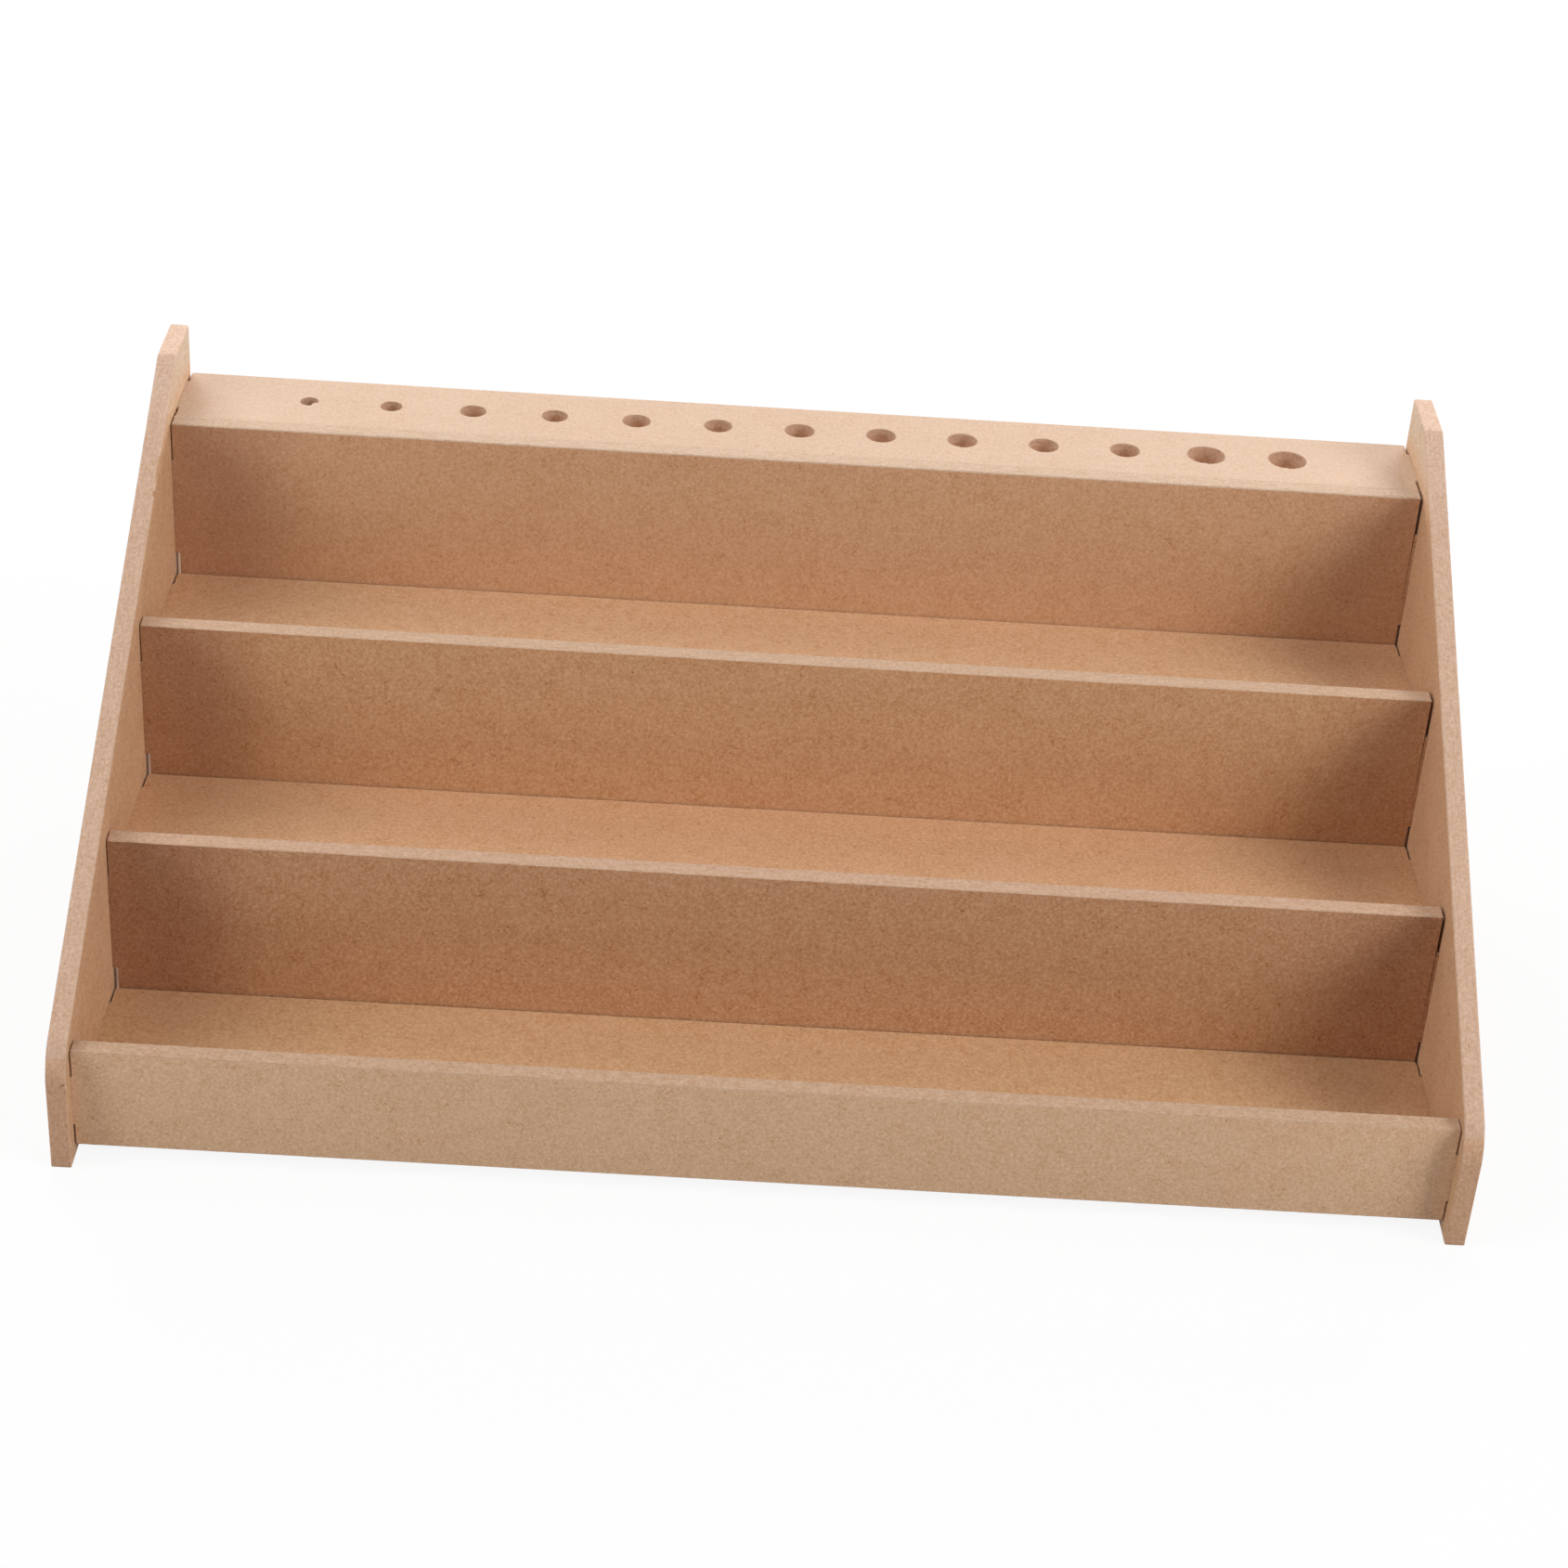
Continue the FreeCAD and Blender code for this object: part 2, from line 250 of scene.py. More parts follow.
def divide(piece, axis, places):
    """Cuts a piece's faces across at places along one axis, so that none is long or pierced."""
    work_on(piece)
    normal = Vector((0, 0, 0))
    normal[axis] = 1
    for place in sorted(places):
        bpy.ops.mesh.select_all(action="SELECT")
        bpy.ops.mesh.bisect(plane_co=normal * place, plane_no=normal, threshold=1e-6)
    bpy.ops.object.mode_set(mode="OBJECT")


def lump(place, size, turn):
    """Adds a small uneven lump, in metres, as the cutter for a chipped place."""
    bpy.ops.object.select_all(action="DESELECT")
    bpy.ops.mesh.primitive_ico_sphere_add(subdivisions=2, radius=1, location=place)
    chip = bpy.context.active_object
    chip.scale = size
    chip.rotation_euler = turn
    bpy.ops.object.transform_apply(location=True, rotation=True, scale=True)
    return chip


def middle_of(edge):
    """Middle of an edit-mode edge."""
    return (edge.verts[0].co + edge.verts[1].co) / 2


def corner_angle(edge):
    """Turn at an edge between its two faces, positive where it stands out."""
    if len(edge.link_faces) != 2:
        return 0
    return edge.calc_face_angle_signed(0)


def slice_long_edges(piece, length):
    """Cuts each long sharp edge into short steps, which the wear then moves one by one."""
    work_on(piece)
    shape = bmesh.from_edit_mesh(piece.data)
    counts = set()
    for edge in shape.edges:
        if corner_angle(edge) > SHARP and edge.calc_length() > 2 * length:
            counts.add(round(edge.calc_length() / length))
    for count in sorted(counts):
        pick(piece, "EDGE", lambda edge: corner_angle(edge) > SHARP
             and edge.calc_length() > 2 * length and round(edge.calc_length() / length) == count)
        bpy.ops.mesh.subdivide(number_cuts=count - 1, quadcorner="INNERVERT")
    bpy.ops.object.mode_set(mode="OBJECT")


def ease_edges(piece, thickness_axis, share=None):
    """Rounds the sharp edges of a board, by a share of the usual width at each place."""
    slice_long_edges(piece, SLICE)
    while len(piece.data.materials) < 4:
        piece.data.materials.append(None)
    work_on(piece)
    shape = bmesh.from_edit_mesh(piece.data)
    widths = shape.edges.layers.float.new("bevel_weight_edge")
    for edge in shape.edges:
        if corner_angle(edge) > SHARP:
            edge[widths] = share(middle_of(edge)) if share else 1.0
    bmesh.update_edit_mesh(piece.data)
    bpy.ops.object.mode_set(mode="OBJECT")
    apply_modifier(piece, "BEVEL", width=ARRIS, segments=3, limit_method="WEIGHT",
                   use_clamp_overlap=False, material=2)
    for face in piece.data.polygons:
        if face.material_index != 2:
            face.material_index = 0 if abs(face.normal[thickness_axis]) > 0.9 else 1


def wear_edges(piece, share, grain, depth, seed):
    """Presses the rounded edges in unevenly, by a share of the depth at each place."""
    shared = {}
    for face in piece.data.polygons:
        for corner in face.vertices:
            shared.setdefault(corner, set()).add(face.material_index)
    group = piece.vertex_groups.new(name="rubbed")
    for corner, slots in shared.items():
        if slots == {2}:
            group.add([corner], share(piece.data.vertices[corner].co) if share else 1.0, "REPLACE")
    fuzz = bpy.data.textures.new("rubbed_edge", "CLOUDS")
    fuzz.noise_scale = grain
    fuzz.noise_depth = 2
    shift = bpy.data.objects.new("wear_place", None)
    bpy.context.scene.collection.objects.link(shift)
    shift.location = (0.013 * seed, 0.029 * seed, 0.017 * seed)
    bpy.context.view_layer.update()
    apply_modifier(piece, "DISPLACE", texture=fuzz, texture_coords="OBJECT", texture_coords_object=shift,
                   direction="NORMAL", mid_level=1.0, strength=depth, vertex_group="rubbed")
    bpy.data.objects.remove(shift, do_unlink=True)
    piece.vertex_groups.clear()


def chip_away(piece, chips):
    """Takes small lumps out of a board, and leaves raw fibre in the hollows."""
    for chip in chips:
        chip.data.materials.append(None)
        chip.data.materials.append(None)
        for face in chip.data.polygons:
            face.material_index = 1
    cut(piece, chips)


def smooth(piece):
    """Shades a board's rounded edges smooth and keeps its faces flat."""
    bpy.ops.object.select_all(action="DESELECT")
    piece.select_set(True)
    bpy.context.view_layer.objects.active = piece
    bpy.ops.object.shade_smooth_by_angle(angle=math.radians(35))
    apply_modifier(piece, "WEIGHTED_NORMAL", mode="FACE_AREA", weight=100, keep_sharp=True)


def shifted(code, levels):
    """Linear colour of an sRGB hex code, made greyer and lighter, or browner and darker, by sRGB levels."""
    channels = []
    for i, part in ((1, 0.75), (3, 1.0), (5, 1.2)):
        channels.append(min(max(int(code[i:i + 2], 16) + round(levels * part), 0), 255))
    return linear("#" + "".join(f"{channel:02X}" for channel in channels))


def rubbed_rim(tree, radius):
    """Value that rises to 1 on a board's edges, and starts at a radius from them."""
    turned = put(tree, "Bevel", {"Radius": radius}, samples=4)
    own = put(tree, "NewGeometry")
    agree = put(tree, "VectorMath", {0: (turned, 0), 1: (own, "Normal")}, operation="DOT_PRODUCT")
    return put(tree, "MapRange", {0: (agree, "Value"), 1: 0.995, 2: 0.8, 3: 0.0, 4: 1.0})


def shaded_ends(tree, spot, colour, ends):
    """Surface colour, darker and redder at both ends of a riser, by a share for each end.

    This is the shade of the corners in the photograph, painted on: the lamps give too little of it."""
    across = put(tree, "SeparateXYZ", {0: (spot, "Object")})
    left = put(tree, "MapRange", {0: (across, 0), 1: LEFT_END[0], 2: LEFT_END[1], 3: 1.0, 4: ends[0]},
               interpolation_type="SMOOTHSTEP")
    right = put(tree, "MapRange", {0: (across, 0), 1: RIGHT_END[0], 2: RIGHT_END[1], 3: 1.0, 4: ends[1]},
                interpolation_type="SMOOTHSTEP")
    both = put(tree, "Math", {0: (left, 0), 1: (right, 0)}, operation="MULTIPLY")
    red = put(tree, "Math", {0: (both, 0), 1: RED_POWER}, operation="POWER")
    shade = put(tree, "CombineXYZ", {0: (red, 0), 1: (both, 0), 2: (both, 0)})
    return put(tree, "VectorMath", {0: colour, 1: (shade, 0)}, operation="MULTIPLY"), 0


def painted_top_light(tree, spot, colour, gain):
    """Surface colour, paler by the gain above the tool board: painted light on the panels' upper parts."""
    height = put(tree, "SeparateXYZ", {0: (spot, "Object")})
    high = put(tree, "MapRange", {0: (height, 2), 1: TOP_LIGHT_BAND[0], 2: TOP_LIGHT_BAND[1], 3: 0.0, 4: 1.0},
               interpolation_type="SMOOTHSTEP")
    pale = put(tree, "VectorMath", {0: colour, 1: gain}, operation="MULTIPLY")
    return put(tree, "Mix", {0: (high, 0), 6: colour, 7: (pale, 0)}, data_type="RGBA"), 2


def sanded_face(name, base, grain, offset, ends=None, top=None):
    """Raw fibreboard, pressed and sanded: matt, with short fine fibres and a few dark flecks."""
    material = bpy.data.materials.new(name)
    material.use_nodes = True
    tree = material.node_tree
    tree.nodes.clear()
    spot = put(tree, "TexCoord")
    place = put(tree, "Mapping", {"Vector": (spot, "Object"), "Location": offset})
    # Clouded density of the pressed sheet, in patches about 25 mm wide
    cloud = put(tree, "TexNoise", {"Vector": (place, 0), "Scale": 1 / 0.025, "Detail": 3.0})
    patch = put(tree, "MapRange", {0: (cloud, 0), 1: 0.3, 2: 0.7, 3: 0.0, 4: 1.0})
    ground = put(tree, "Mix", {0: (patch, 0), 6: shifted(base, -4), 7: shifted(base, 4)}, data_type="RGBA")
    # The sheet is a little redder in some patches and greener in others, about 40 mm wide
    drift = put(tree, "TexNoise", {"Vector": (place, 0), "Scale": 1 / 0.04, "Detail": 2.0, "Roughness": 0.7})
    drift = put(tree, "MapRange", {0: (drift, 0), 1: 0.35, 2: 0.65, 3: 0.0, 4: 1.0})
    hue = put(tree, "Mix", {0: (drift, 0), 6: (1.016, 0.994, 0.988, 1), 7: (0.984, 1.006, 1.006, 1)},
              data_type="RGBA")
    ground = put(tree, "VectorMath", {0: (ground, 2), 1: (hue, 2)}, operation="MULTIPLY")
    # Fibres: real ones are 0.1 mm thick, drawn 0.5 mm thick so that they show
    fibre = put(tree, "TexNoise", {"Vector": (place, 0), "Scale": 1 / 0.0008, "Detail": 5.0,
                                   "Roughness": 0.68, "Distortion": 0.6})
    streak = put(tree, "MapRange", {0: (fibre, 0), 1: 0.32, 2: 0.68, 3: 0.0, 4: 1.0})
    fleece = put(tree, "Mix", {0: (streak, 0), 6: shifted(base, -50 * grain), 7: shifted(base, 50 * grain)},
                 data_type="RGBA")
    colour = put(tree, "Mix", {0: 0.6, 6: (ground, 0), 7: (fleece, 2)}, data_type="RGBA")
    # Longer fibres, 0.15 mm thick and 1 to 3 mm long, curl here and there
    curl = put(tree, "TexNoise", {"Vector": (place, 0), "Scale": 1 / 0.0021, "Detail": 0.0,
                                  "Distortion": 2.2})
    middle = put(tree, "Math", {0: (curl, 0), 1: 0.5}, operation="SUBTRACT")
    middle = put(tree, "Math", {0: (middle, 0)}, operation="ABSOLUTE")
    line = put(tree, "MapRange", {0: (middle, 0), 1: 0.01, 2: 0.035, 3: 1.0, 4: 0.0})
    where = put(tree, "TexNoise", {"Vector": (place, 0), "Scale": 1 / 0.0052, "Detail": 1.0})
    some = put(tree, "MapRange", {0: (where, 0), 1: 0.46, 2: 0.6, 3: 0.0, 4: 0.7})
    strand = put(tree, "Math", {0: (line, 0), 1: (some, 0)}, operation="MULTIPLY")
    colour = put(tree, "Mix", {0: (strand, 0), 6: (colour, 2), 7: shifted(base, -60 * grain)},
                 data_type="RGBA")
    # Dark flecks of bark, up to 0.8 mm across, in one cell of three of a 7 mm net
    bent = put(tree, "Mix", {0: 0.0012, 4: (place, 0), 5: (where, 1)}, data_type="VECTOR")
    grit = put(tree, "TexVoronoi", {"Vector": (bent, 1), "Scale": 1 / 0.007, "Randomness": 1.0})
    fleck = put(tree, "MapRange", {0: (grit, "Distance"), 1: 0.02, 2: 0.055, 3: 1.0, 4: 0.0})
    chance = put(tree, "MapRange", {0: (grit, "Color"), 1: 0.45, 2: 0.8, 3: 0.0, 4: 0.85})
    speck = put(tree, "Math", {0: (fleck, 0), 1: (chance, 0)}, operation="MULTIPLY")
    colour = put(tree, "Mix", {0: (speck, 0), 6: (colour, 2), 7: shifted(base, -80)}, data_type="RGBA")
    # Pale loose fibres, as short specks 0.4 mm across in a few cells of the same net
    few = put(tree, "MapRange", {0: (grit, "Color"), 1: 0.12, 2: 0.3, 3: 0.7, 4: 0.0})
    mote = put(tree, "MapRange", {0: (grit, "Distance"), 1: 0.015, 2: 0.035, 3: 1.0, 4: 0.0})
    speck = put(tree, "Math", {0: (mote, 0), 1: (few, 0)}, operation="MULTIPLY")
    colour = put(tree, "Mix", {0: (speck, 0), 6: (colour, 2), 7: shifted(base, 45)}, data_type="RGBA")
    # The sheet is paler and furry within a millimetre of its edges, as if rubbed by handling
    rim = rubbed_rim(tree, 0.001)
    worn = put(tree, "Math", {0: (rim, 0), 1: (streak, 0)}, operation="MULTIPLY")
    colour = put(tree, "Mix", {0: (worn, 0), 6: (colour, 2), 7: shifted(base, 16)}, data_type="RGBA")
    colour = (colour, 2)
    # Painted shade at both ends of a riser
    if ends:
        colour = shaded_ends(tree, spot, colour, ends)
    # Painted light: the panels turn paler above the tool board
    if top:
        colour = painted_top_light(tree, spot, colour, top)
    rough = put(tree, "MapRange", {0: (fibre, 0), 1: 0.2, 2: 0.8, 3: 0.6, 4: 0.8})
    rough = put(tree, "Mix", {0: (rim, 0), 2: (rough, 0), 3: 0.9}, data_type="FLOAT")
    # Sanded surface: fibres stand up by a few hundredths of a millimetre
    relief = put(tree, "Bump", {"Strength": 0.3, "Distance": 0.00005, "Height": (fibre, 0)})
    wood = put(tree, "BsdfPrincipled", {"Base Color": colour, "Roughness": (rough, 0), "IOR": 1.5,
                                        "Specular IOR Level": 0.5, "Normal": (relief, 0)})
    put(tree, "OutputMaterial", {"Surface": (wood, 0)})
    return material


def sawn_edge(name, base, thickness_axis, offset, top=None):
    """Cut edge of fibreboard: paler and furry, with the pressed layers along the board."""
    material = bpy.data.materials.new(name)
    material.use_nodes = True
    tree = material.node_tree
    tree.nodes.clear()
    spot = put(tree, "TexCoord")
    # Layers 0.4 mm thick that run 4 mm along the board
    stretch = [0.25, 0.25, 0.25]
    stretch[thickness_axis] = 2.5
    place = put(tree, "Mapping", {"Vector": (spot, "Object"), "Location": offset, "Scale": stretch})
    layer = put(tree, "TexNoise", {"Vector": (place, 0), "Scale": 1 / 0.001, "Detail": 3.0,
                                   "Roughness": 0.6})
    # Fur: real fibres are 0.1 mm thick, drawn 0.6 mm thick so that they show
    fur = put(tree, "TexNoise", {"Vector": (spot, "Object"), "Scale": 1 / 0.0009, "Detail": 4.0,
                                 "Roughness": 0.7, "Distortion": 0.5})
    both = put(tree, "Mix", {0: 0.7, 2: (layer, 0), 3: (fur, 0)}, data_type="FLOAT")
    shade = put(tree, "MapRange", {0: (both, 0), 1: 0.34, 2: 0.66, 3: 0.0, 4: 1.0})
    colour = put(tree, "Mix", {0: (shade, 0), 6: shifted(base, -20), 7: shifted(base, 20)}, data_type="RGBA")
    rim = rubbed_rim(tree, 0.0008)
    worn = put(tree, "Math", {0: (rim, 0), 1: (shade, 0)}, operation="MULTIPLY")
    colour = put(tree, "Mix", {0: (worn, 0), 6: (colour, 2), 7: shifted(base, 12)}, data_type="RGBA")
    colour = (colour, 2)
    # Painted light: the panels turn paler above the tool board
    if top:
        colour = painted_top_light(tree, spot, colour, top)
    rough = put(tree, "MapRange", {0: (fur, 0), 1: 0.2, 2: 0.8, 3: 0.85, 4: 1.0})
    # Sawn surface: the fur is about a tenth of a millimetre deep
    relief = put(tree, "Bump", {"Strength": 0.7, "Distance": 0.0001, "Height": (both, 0)})
    wood = put(tree, "BsdfPrincipled", {"Base Color": colour, "Roughness": (rough, 0), "IOR": 1.5,
                                        "Specular IOR Level": 0.15, "Sheen Weight": 0.08,
                                        "Sheen Roughness": 0.5, "Normal": (relief, 0)})
    put(tree, "OutputMaterial", {"Surface": (wood, 0)})
    return material


def finish_board(piece, node, thickness_axis, number, face, edge, grain, ends=None, painted_tops=(None, None)):
    """Gives a board its two finishes and puts it in its CAD node's place."""
    offset = (0.31 * number, 0.17 * number, 0.23 * number)
    piece.data.materials[0] = sanded_face(f"mdf_sanded_face_{node}", face, grain, offset, ends, painted_tops[0])
    sawn = sawn_edge(f"mdf_sawn_edge_{node}", edge, thickness_axis, offset, painted_tops[1])
    for slot in (1, 2, 3):
        piece.data.materials[slot] = sawn
    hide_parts(node)
    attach(piece, "root")


BOARDS = ["front_lip_board", "lower_shelf", "middle_shelf", "upper_shelf",
          "lower_riser", "middle_riser", "upper_riser", "tool_board"]
left_low, left_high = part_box("left_side_panel")
right_low, right_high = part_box("right_side_panel")


def tongue_box(node):
    """Lowest and highest corner of a board's tongues, read from the CAD solid."""
    points = [vertex.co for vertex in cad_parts[node].data.vertices
              if vertex.co.x > right_low.x + 0.001]
    low = Vector([min(point[i] for point in points) for i in range(3)])
    high = Vector([max(point[i] for point in points) for i in range(3)])
    return low, high


def side_panel(name, low, high):
    """End board between two corners, with its slope, its rounded nose and crest, and its slots."""
    panel = start_box(name, low, high)
    work_on(panel)
    nose = Vector((low.x, low.y, NOSE_HEIGHT))
    crest = Vector((low.x, high.y - CREST_LENGTH, high.z))
    slope = crest - nose
    bpy.ops.mesh.select_all(action="SELECT")
    bpy.ops.mesh.bisect(plane_co=nose, plane_no=(0, -slope.z, slope.y), use_fill=True, clear_outer=True)
    rise = math.atan2(slope.z, slope.y)
    for corner, turn, radius, steps in ((nose, math.pi / 2 - rise, NOSE_RADIUS, 16),
                                        (crest, rise, CREST_RADIUS, 6)):
        pick(panel, "EDGE", lambda edge: abs(middle_of(edge).y - corner.y) < 1e-5
             and abs(middle_of(edge).z - corner.z) < 1e-5)
        bpy.ops.mesh.bevel(offset=radius * math.tan(turn / 2), segments=steps, profile=0.5, affect="EDGES")
    bpy.ops.object.mode_set(mode="OBJECT")
    slots = []
    ends = {1: set(), 2: set()}
    for board in BOARDS:
        tongue_low, tongue_high = tongue_box(board)
        play = Vector((0, SLOT_PLAY, SLOT_PLAY))
        slot_low = Vector((low.x - 0.001, tongue_low.y, tongue_low.z)) - play
        slot_high = Vector((high.x + 0.001, tongue_high.y, tongue_high.z)) + play
        slots.append(start_box("slot", slot_low, slot_high))
        for axis in ends:
            ends[axis] |= {slot_low[axis], slot_high[axis]}
    cut(panel, slots)
    for axis, places in ends.items():
        divide(panel, axis, places)
    return panel


left_panel = side_panel("left_end_panel", left_low, left_high)
right_panel = side_panel("right_end_panel", right_low, right_high)
PANELS = ((left_panel, "left_side_panel"), (right_panel, "right_side_panel"))
# Gain in red, green and blue of the panels' faces and cut edges above the tool board: painted light
PANEL_TOP_LIGHT = ((0.99, 1.2, 1.46), (1.07, 1.1, 1.14))
for number, (panel, node) in enumerate(PANELS):
    ease_edges(panel, 0)
    # The front edges below the nose get a darker, redder colour of their own: painted shade
    for face in panel.data.polygons:
        if face.normal.y < -0.7 and face.center.z < NOSE_HEIGHT:
            face.material_index = 3
    wear_edges(panel, None, WEAR_GRAIN, PANEL_WEAR, number)
# The left panel is chipped at its front edge and twice along the inner edge of its slope
# The chip at the front edge is lined with very pale fibre: the paler raw fibre, with a painted highlight
# where fibres would stand up in the light
torn = lump((-0.1712, -0.1000, 0.0250), (0.0012, 0.0004, 0.0004), (0, -0.72, 0))
for slot in range(5):
    torn.data.materials.append(None)
for face in torn.data.polygons:
    face.material_index = 4
left_panel.data.materials.append(sawn_edge("mdf_torn_fibre_and_highlight", "#F0D6BC", 0, (0.5, 0.1, 0.7)))
cut(left_panel, [torn])
chip_away(left_panel, [lump((-0.1704, -0.1003, 0.0236), (0.0009, 0.0006, 0.0004), (0, -0.6, 0)),
                       lump((-0.1700, 0.0483, 0.1181), (0.0005, 0.0050, 0.0005), (0.526, 0, 0)),
                       lump((-0.1700, 0.0413, 0.1140), (0.0006, 0.0012, 0.0007), (0.526, 0, 0.2))])
for number, (panel, node) in enumerate(PANELS):
    smooth(panel)
    finish_board(panel, node, 0, number, "#BF956F", "#D1AD93", 0.75, painted_tops=PANEL_TOP_LIGHT)
    # Darker, redder colour of the front edges below the nose: painted shade
    panel.data.materials[3] = sawn_edge(f"mdf_shaded_front_edge_{node}", "#D1A584", 0, (0.6 + number, 0.3, 0.2))


# Lip board
# The low board along the front, of the same 5 mm fibreboard. It stands on edge, a little
# above the ground, and a tongue at each end is pushed through a slot in the side panel.
TENON_RECESS = 0.00012
LIP_END = 0.1698
LENGTH_STEP = 0.02


def tongued_board(name, node, left=None, right=None):
    """Board with one tongue at each end, sized from its CAD solid.

    Left and right, where given, are the distances from the middle of the board to the shoulders of
    that end, above and below its tongue."""
    low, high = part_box(node)
    tongue_low, tongue_high = tongue_box(node)
    points = [vertex.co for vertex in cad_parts[node].data.vertices]
    breadth_axis = 1 if high.y - low.y > high.z - low.z else 2
    inside = [point for point in points if abs(point.x) < right_low.x]
    above = max(point.x for point in inside if point[breadth_axis] > tongue_high[breadth_axis] + 1e-5)
    below = max(point.x for point in inside if point[breadth_axis] < tongue_low[breadth_axis] - 1e-5)
    ends = {-1: left or (above, below), 1: right or (above, below)}
    start = min(ends[-1] + ends[1])
    tip = right_high.x - TENON_RECESS
    board = start_box(name, Vector((-start, low.y, low.z)), Vector((start, high.y, high.z)))
    work_on(board)
    normal = Vector((0, 0, 0))
    normal[breadth_axis] = 1
    for place in (tongue_low, tongue_high):
        pick(board, "FACE", lambda face: abs(face.normal.x) > 0.9)
        bpy.ops.mesh.bisect(plane_co=place, plane_no=normal)

    def goal(face, side):
        place = face.calc_center_median()[breadth_axis]
        if place > tongue_high[breadth_axis]:
            return ends[side][0]
        return ends[side][1] if place < tongue_low[breadth_axis] else tip

    for side in (-1, 1):
        reached = start
        for level in sorted({*ends[side], tip}):
            if level > reached:
                pick(board, "FACE", lambda face: face.normal.x * side > 0.9 and goal(face, side) > reached)
                step = {"value": (side * (level - reached), 0, 0)}
                bpy.ops.mesh.extrude_region_move(TRANSFORM_OT_translate=step)
                reached = level
    bpy.ops.object.mode_set(mode="OBJECT")
    divide(board, 0, [LENGTH_STEP * step for step in range(-8, 9)])
    return board


lip = tongued_board("low_front_board", "front_lip_board", (LIP_END, LIP_END), (LIP_END, LIP_END))
ease_edges(lip, 1)
wear_edges(lip, None, WEAR_GRAIN, WEAR, 2)
smooth(lip)
finish_board(lip, "front_lip_board", 1, 2, "#E1B791", "#C5A285", 0.64)

# Shelves
# Three level boards of the same sheet, one behind the other and each a step higher. The
# front edge meets the board in front, and the back edge meets its riser with a fine gap.
JOINT_GAP = 0.00035
JOINT_SHARE = 0.2


def shelf_share(place):
    """Share of the usual wear: little along the back edge, where a shelf meets its riser."""
    return JOINT_SHARE if place.y > back - ARRIS else 1.0


# The shelves' face colours are a little darker for each lower tier: painted shade
for number, word, face in ((3, "lower", "#CA9E73"), (4, "middle", "#CE9F75"), (5, "upper", "#D1A47B")):
    shelf = tongued_board(f"{word}_tier_shelf", f"{word}_shelf")
    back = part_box(f"{word}_shelf")[1].y - JOINT_GAP
    work_on(shelf)
    pick(shelf, "FACE", lambda face: face.normal.y > 0.9)
    bpy.ops.transform.translate(value=(0, -JOINT_GAP, 0))
    bpy.ops.object.mode_set(mode="OBJECT")
    ease_edges(shelf, 2, shelf_share)
    wear_edges(shelf, shelf_share, WEAR_GRAIN, WEAR, number)
    smooth(shelf)
    finish_board(shelf, f"{word}_shelf", 2, number, face, "#C5A488", 0.66)

# Risers
# Three tall boards on edge, one behind each shelf. The upper edge of each stands above
# the next shelf as its lip, and the ends are cut back a little below the tongues.
RISER_LEFT = (0.16975, 0.1688)
RISER_RIGHT = (0.1695, 0.1694)
MORE_AT_RIGHT = 0.8
tool_low, tool_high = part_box("tool_board")


def joint_share(place):
    """Share of the usual wear: little where the upper riser and the tool board meet, least at left."""
    if abs(place.y - tool_low.y) > 2 * ARRIS or place.z < tool_high.z - 2 * ARRIS:
        return 1.0
    return JOINT_SHARE * (1 + MORE_AT_RIGHT * place.x / right_low.x)


# Each riser's face colour is a little darker than the one above it, and the two shares darken its ends: both
# are painted shade
for number, word, face, edge, grain, ends in ((6, "lower", "#C29268", "#CDA88C", 0.82, (0.66, 0.80)),
                                              (7, "middle", "#CC9A6D", "#D1AE91", 0.76, (0.68, 0.82)),
                                              (8, "upper", "#CE9F77", "#C9AB91", 0.64, (0.76, 0.90))):
    riser = tongued_board(f"{word}_tier_riser", f"{word}_riser", RISER_LEFT, RISER_RIGHT)
    ease_edges(riser, 1, joint_share)
    wear_edges(riser, joint_share, WEAR_GRAIN, WEAR, number)
    smooth(riser)
    finish_board(riser, f"{word}_riser", 1, number, face, edge, grain, ends)

# Tool board
# A narrow level board behind the upper riser, flush with its upper edge. Thirteen holes
# from 5 to 10.6 mm are drilled through it in one row, for brushes and tool handles.
HOLES = [0.0050, 0.0060, 0.0072, 0.0072, 0.0078, 0.0078, 0.0083, 0.0083, 0.0083, 0.0083, 0.0083,
         0.0106, 0.0106]
HOLE_PITCH = 0.0225
SKIN = 0.0005
FUR = 0.00015
RIM_SHARE = 0.3
RIM_GRAIN = 0.0007
RIM_WEAR = 0.00012
BIT = 0.001
hole_line = (tool_low.y + tool_high.y) / 2
first_hole = -6 * HOLE_PITCH
depth = tool_high.z - tool_low.z
tool = tongued_board("drilled_tool_board", "tool_board")
drills = []
for i, diameter in enumerate(HOLES):
    # The drill leaves fur at its exit, so that each hole is a little narrower below
    across = (i - 6) * HOLE_PITCH
    top = SKIN if i == 0 else -BIT
    bpy.ops.object.select_all(action="DESELECT")
    bpy.ops.mesh.primitive_cone_add(vertices=72, radius1=diameter / 2 - FUR * (1 + BIT / depth),
                                    radius2=diameter / 2 - FUR * top / depth, depth=depth + BIT - top,
                                    location=(across, hole_line, tool_high.z - (depth + BIT + top) / 2))
    drills.append(bpy.context.active_object)
cut(tool, drills)
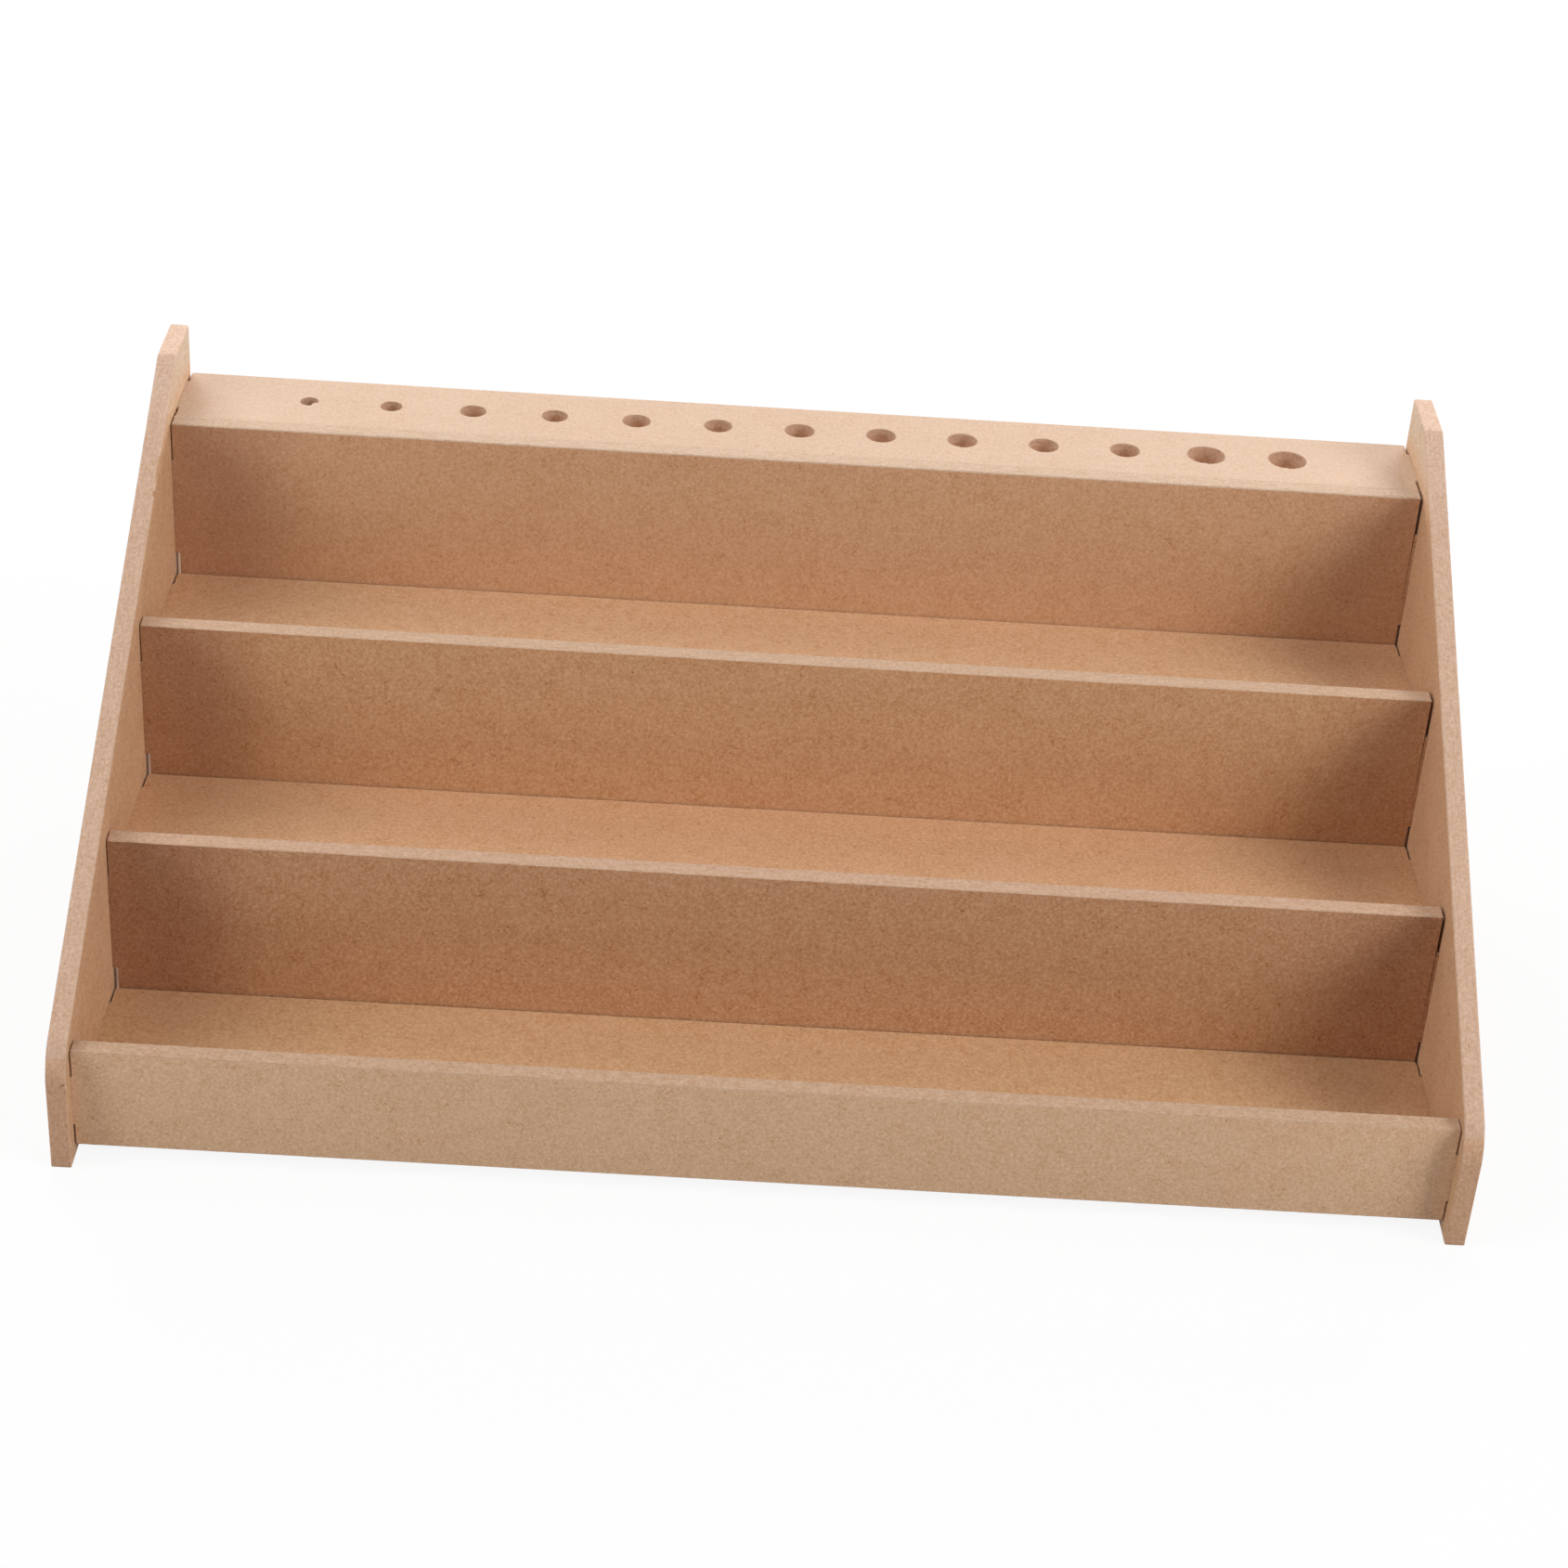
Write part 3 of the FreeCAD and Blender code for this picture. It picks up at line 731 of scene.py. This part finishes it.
# The first hole is half covered by a torn flap of the board's skin
bpy.ops.object.select_all(action="DESELECT")
bpy.ops.mesh.primitive_cylinder_add(vertices=72, radius=HOLES[0] / 2, depth=SKIN + BIT,
                                    location=(first_hole, hole_line, tool_high.z + BIT / 2 - SKIN / 2))
opening = bpy.context.active_object
cut(opening, [lump((first_hole + 0.0023, hole_line - 0.0021, tool_high.z),
                   (0.0016, 0.0016, 0.002), (0, 0, 0.4))])
cut(tool, [opening])
divide(tool, 0, [HOLE_PITCH / 2 * step for step in range(-13, 14)])
divide(tool, 1, [hole_line])


def at_hole(place):
    """True on a hole's wall or rim."""
    i = round(place.x / HOLE_PITCH) + 6
    if not 0 <= i < len(HOLES):
        return False
    away = math.hypot(place.x - (i - 6) * HOLE_PITCH, place.y - hole_line)
    return away < HOLES[i] / 2 + ARRIS


def tool_share(place):
    """Share of the usual wear: crisp rims on the holes, sharper still below."""
    if at_hole(place):
        return RIM_SHARE if place.z > tool_high.z - BIT else RIM_SHARE / 3
    return joint_share(place)


ease_edges(tool, 2, tool_share)
wear_edges(tool, tool_share, WEAR_GRAIN, WEAR, 9)
wear_edges(tool, lambda place: 1.0 if at_hole(place) and place.z > tool_high.z - BIT else 0.0,
           RIM_GRAIN, RIM_WEAR, 10)
for face in tool.data.polygons:
    if abs(face.normal.z) < 0.5 and at_hole(face.center):
        face.material_index = 3
# Nicks in the rims of the sixth, twelfth and thirteenth holes
chip_away(tool, [lump((-0.0225, 0.0823, tool_high.z), (0.0006, 0.0004, 0.0003), (0, 0, 0.3)),
                 lump((0.1087, 0.0850, tool_high.z), (0.0004, 0.0007, 0.0003), (0, 0, 0.5)),
                 lump((0.1300, 0.0870, tool_high.z), (0.0004, 0.0006, 0.0003), (0, 0, 0.2)),
                 lump((0.1359, 0.0813, tool_high.z), (0.0007, 0.0004, 0.0004), (0, 0, 0.1))])
smooth(tool)
finish_board(tool, "tool_board", 2, 9, "#C9A98E", "#D3B195", 0.43)
tool.data.materials[3] = sawn_edge("mdf_drilled_wall", "#C5A38A", 2, (0.4, 0.2, 0.1))
